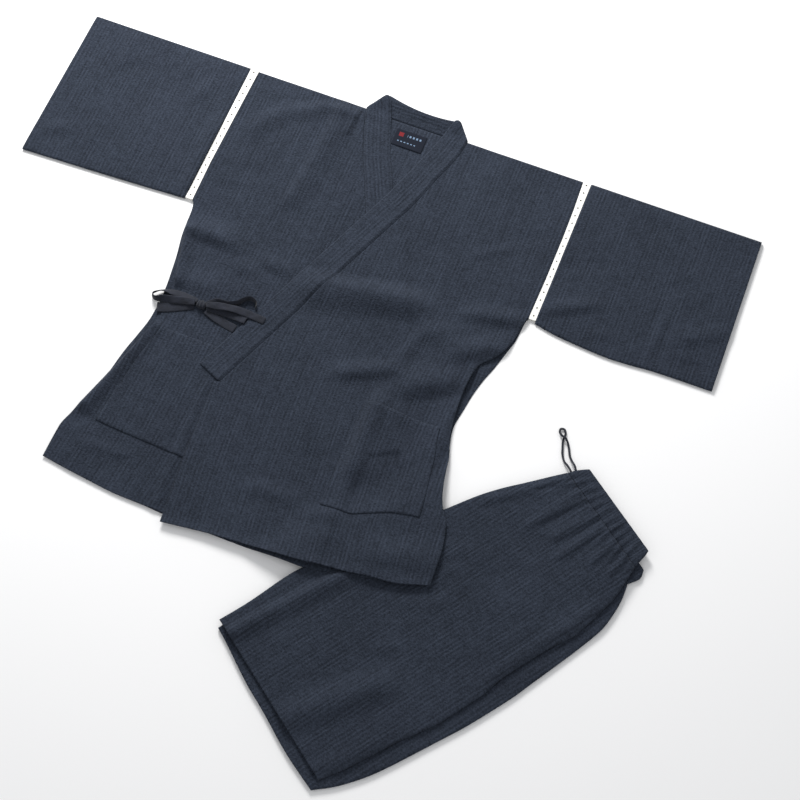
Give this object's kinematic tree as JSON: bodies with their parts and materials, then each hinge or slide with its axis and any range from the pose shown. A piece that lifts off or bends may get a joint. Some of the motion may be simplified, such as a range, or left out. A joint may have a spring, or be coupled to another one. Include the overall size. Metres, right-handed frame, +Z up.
{
  "type": "jinbei jacket and trousers laid flat",
  "caption": "Japanese summer set laid flat: wide-sleeved wrap jacket tied at the side over folded gathered-waist knee-length trousers.",
  "frame": {"origin": "middle of the whole set's outline, on the surface it lies on", "axes": "+Z up from the surface, +X along the jacket's shoulder line towards its left sleeve, +Y from the jacket's hem towards its collar"},
  "size_m": [1.242, 1.1544, 0.0235],
  "materials": {
    "cloth": "matte dark navy ribbed cotton crepe",
    "lace": "matte cream cotton insertion lace",
    "tie": "matte charcoal sewn cotton tie",
    "drawstring": "matte dark braided cotton cord",
    "label": null
  },
  "bodies": {
    "root": {"back_right": "cloth", "back_left": "cloth", "front_right": "cloth", "front_left": "cloth", "pocket_right": "cloth", "pocket_left": "cloth", "collar_right": "cloth", "collar_left": "cloth", "collar_back": "cloth", "sleeve_left": "cloth", "sleeve_right": "cloth", "lace_left": "lace", "lace_right": "lace", "label": "label", "tie_side": "tie", "bow_loop_far": "tie", "bow_loop_near": "tie", "tie_tail_long": "tie", "tie_tail_short": "tie", "tie_front": "tie", "bow_knot": "tie", "drawstring": "drawstring", "leg_under": "cloth", "leg_upper": "cloth", "casing_under": "cloth", "casing_upper": "cloth"}
  },
  "joints": []
}
